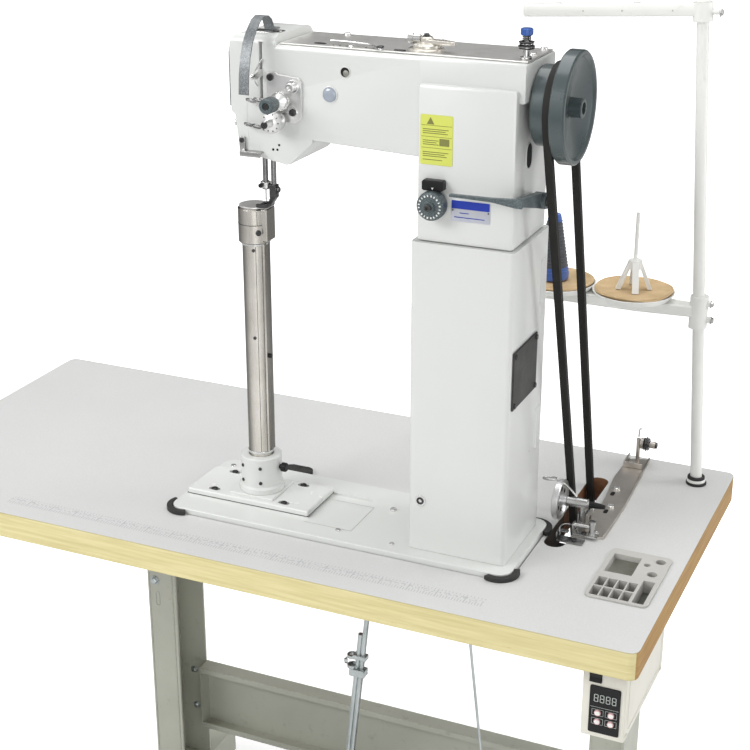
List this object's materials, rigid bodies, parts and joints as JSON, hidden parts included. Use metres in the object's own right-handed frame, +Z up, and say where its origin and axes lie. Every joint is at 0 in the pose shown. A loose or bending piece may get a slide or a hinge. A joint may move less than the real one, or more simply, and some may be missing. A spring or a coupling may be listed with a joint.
{
  "type": "leather sewing machine",
  "caption": "Post-bed industrial sewing machine for leather on a laminate work table with steel stand, belt drive, thread stand, pedals and control box.",
  "frame": {"origin": "on the floor, under the centre of the table top", "axes": "+Z up, +X along the table towards the handwheel end, -Y towards the operator"},
  "size_m": [1.2, 0.5655, 1.4731],
  "materials": {
    "enamel": "satin off-white enamel",
    "laminate": "light grey laminate over plywood, pale yellow front edge, brown end edge",
    "stand_paint": "grey-green stove enamel",
    "satin_nickel": "satin nickel",
    "bright_steel": "polished plated steel",
    "slate_hammertone": "dark slate hammertone paint",
    "black_rubber": "matte",
    "cast_aluminium": "turned",
    "black_plastic": "satin",
    "cream_plastic": "fine texture",
    "white_plastic": "white powder coat and white moulded plastic",
    "tan_foam": "tan foam pad",
    "grey_plastic": "moulded",
    "red_plastic": "moulded",
    "blue_thread": "wound thread",
    "black_iron": "black paint",
    "zinc_rod": "zinc plated"
  },
  "bodies": {
    "frame": {"bed_plate": "enamel", "post_slide_base": "enamel", "post_flange": "enamel", "riser_column": "enamel", "head_casting": "enamel", "table_top": "laminate", "left_leg": "stand_paint", "right_leg": "stand_paint", "cross_brace": "stand_paint", "pedal_bar": "stand_paint", "post_tube": "satin_nickel", "post_cap": "satin_nickel", "top_cover": "satin_nickel", "winder_mount": "satin_nickel", "needle_plate": "bright_steel", "tension_plate": "bright_steel", "pretension_post": "bright_steel", "face_plate": "slate_hammertone", "riser_side_cover": "slate_hammertone", "take_up_guard": "slate_hammertone", "motor": "slate_hammertone", "drive_belt": "black_rubber", "control_panel": "black_plastic", "control_box": "cream_plastic", "stand_pole": "white_plastic", "stand_lower_arm": "white_plastic", "stand_upper_arm": "white_plastic", "spool_pin": "white_plastic", "spool_pad_right": "tan_foam", "spool_pad_left": "tan_foam", "tool_tray": "grey_plastic", "thread_cone": "blue_thread"},
    "rotor": {"handwheel": "slate_hammertone", "main_shaft": "bright_steel"},
    "motor_drive": {"motor_pulley": "cast_aluminium"},
    "hook": {"rotary_hook": "bright_steel", "bobbin": "cast_aluminium"},
    "needle_assembly": {"needle_bar": "bright_steel", "needle": "bright_steel"},
    "take_up": {"take_up_lever": "bright_steel"},
    "presser": {"presser_bar": "bright_steel", "presser_foot": "bright_steel"},
    "foot_lift_knob": {"lift_knob": "bright_steel"},
    "dial": {"stitch_dial": "slate_hammertone"},
    "reverse": {"reverse_lever": "slate_hammertone"},
    "tension_nut": {"tension_knob": "slate_hammertone"},
    "check_nut": {"check_spring_knob": "bright_steel"},
    "foot_pedal": {"treadle": "black_iron"},
    "pitman": {"pitman_rod": "zinc_rod"},
    "speed_lever": {"motor_lever": "bright_steel"},
    "knee_pedal": {"lift_pedal": "black_iron"},
    "lifting_rod": {"lift_rod": "zinc_rod"},
    "button_1": {"control_button_1": "red_plastic"},
    "button_2": {"control_button_2": "red_plastic"},
    "button_3": {"control_button_3": "red_plastic"},
    "button_4": {"control_button_4": "red_plastic"},
    "switch": {"power_switch": "black_plastic"},
    "winder_arm": {"winder_carrier": "bright_steel"},
    "winder_spool": {"winder_wheel": "cast_aluminium"}
  },
  "joints": [
    {"name": "handwheel_spin", "type": "hinge", "parent": "frame", "child": "rotor", "pos_m": [0.41, -0.085, 1.3755], "axis": [1, 0, 0], "continuous": true},
    {"name": "motor_spin", "type": "hinge", "parent": "frame", "child": "motor_drive", "pos_m": [0.41, 0.171, 0.562], "axis": [1, 0, 0], "continuous": true},
    {"name": "hook_spin", "type": "hinge", "parent": "frame", "child": "hook", "pos_m": [-0.017, -0.085, 1], "axis": [0, 0, 1], "continuous": true},
    {"name": "needle_bar_slide", "type": "slide", "parent": "frame", "child": "needle_assembly", "axis": [0, 0, 1], "range_m": [-0.003, 0.033]},
    {"name": "take_up_swing", "type": "hinge", "parent": "frame", "child": "take_up", "pos_m": [0.0295, -0.08, 1.405], "axis": [1, 0, 0], "range_deg": [-24, 6]},
    {"name": "presser_lift", "type": "slide", "parent": "frame", "child": "presser", "axis": [0, 0, 1], "range_m": [0, 0.013]},
    {"name": "lift_knob_turn", "type": "hinge", "parent": "frame", "child": "foot_lift_knob", "pos_m": [0.243, -0.106, 1.44], "axis": [0, 0, 1], "range_deg": [-40, 40]},
    {"name": "stitch_dial_turn", "type": "hinge", "parent": "frame", "child": "dial", "pos_m": [0.275, -0.16, 1.255], "axis": [0, 1, 0], "range_deg": [-180, 180]},
    {"name": "reverse_lever_press", "type": "hinge", "parent": "frame", "child": "reverse", "pos_m": [0.39, -0.087, 1.256], "axis": [1, 0, 0], "range_deg": [0, 18]},
    {"name": "tension_knob_turn", "type": "hinge", "parent": "frame", "child": "tension_nut", "pos_m": [0.063, -0.18, 1.366], "axis": [0, 1, 0], "range_deg": [-180, 180]},
    {"name": "check_spring_knob_turn", "type": "hinge", "parent": "frame", "child": "check_nut", "pos_m": [0.0545, -0.16, 1.3395], "axis": [0, 1, 0], "range_deg": [-90, 90]},
    {"name": "treadle_tilt", "type": "hinge", "parent": "frame", "child": "foot_pedal", "pos_m": [-0.05, 0.05, 0.0765], "axis": [1, 0, 0], "range_deg": [-9, 9]},
    {"name": "pitman_slide", "type": "slide", "parent": "frame", "child": "pitman", "axis": [0.1038, 0, 0.9946], "range_m": [-0.017, 0.017]},
    {"name": "speed_lever_swing", "type": "hinge", "parent": "frame", "child": "speed_lever", "pos_m": [0.1395, 0.105, 0.598], "axis": [1, 0, 0], "range_deg": [-7, 7]},
    {"name": "lift_pedal_tilt", "type": "hinge", "parent": "frame", "child": "knee_pedal", "pos_m": [0.35, 0.05, 0.0765], "axis": [1, 0, 0], "range_deg": [0, 7]},
    {"name": "lift_rod_slide", "type": "slide", "parent": "frame", "child": "lifting_rod", "axis": [-0.1155, 0, 0.9933], "range_m": [-0.013, 0]},
    {"name": "control_button_1_press", "type": "slide", "parent": "frame", "child": "button_1", "axis": [0, 1, 0], "range_m": [0, 0.001]},
    {"name": "control_button_2_press", "type": "slide", "parent": "frame", "child": "button_2", "axis": [0, 1, 0], "range_m": [0, 0.001]},
    {"name": "control_button_3_press", "type": "slide", "parent": "frame", "child": "button_3", "axis": [0, 1, 0], "range_m": [0, 0.001]},
    {"name": "control_button_4_press", "type": "slide", "parent": "frame", "child": "button_4", "axis": [0, 1, 0], "range_m": [0, 0.001]},
    {"name": "power_switch_rock", "type": "hinge", "parent": "frame", "child": "switch", "pos_m": [0.542, -0.2465, 0.696], "axis": [1, 0, 0], "range_deg": [-7, 7]},
    {"name": "winder_engage", "type": "hinge", "parent": "frame", "child": "winder_arm", "pos_m": [0.441, 0.0165, 0.777], "axis": [1, 0, 0], "range_deg": [0, 4]},
    {"name": "winder_spin", "type": "hinge", "parent": "winder_arm", "child": "winder_spool", "pos_m": [0.4055, 0.0165, 0.797], "axis": [1, 0, 0], "continuous": true}
  ],
  "couplings": [
    {"joint": "motor_spin", "follows": "handwheel_spin", "ratio": 1.3247},
    {"joint": "hook_spin", "follows": "handwheel_spin", "ratio": 2},
    {"joint": "take_up_swing", "follows": "needle_bar_slide", "rad_per_m": -11.6},
    {"joint": "pitman_slide", "follows": "treadle_tilt", "m_per_rad": -0.1},
    {"joint": "speed_lever_swing", "follows": "treadle_tilt", "ratio": 0.65},
    {"joint": "lift_rod_slide", "follows": "lift_pedal_tilt", "m_per_rad": -0.1},
    {"joint": "presser_lift", "follows": "lift_pedal_tilt", "m_per_rad": 0.1}
  ]
}
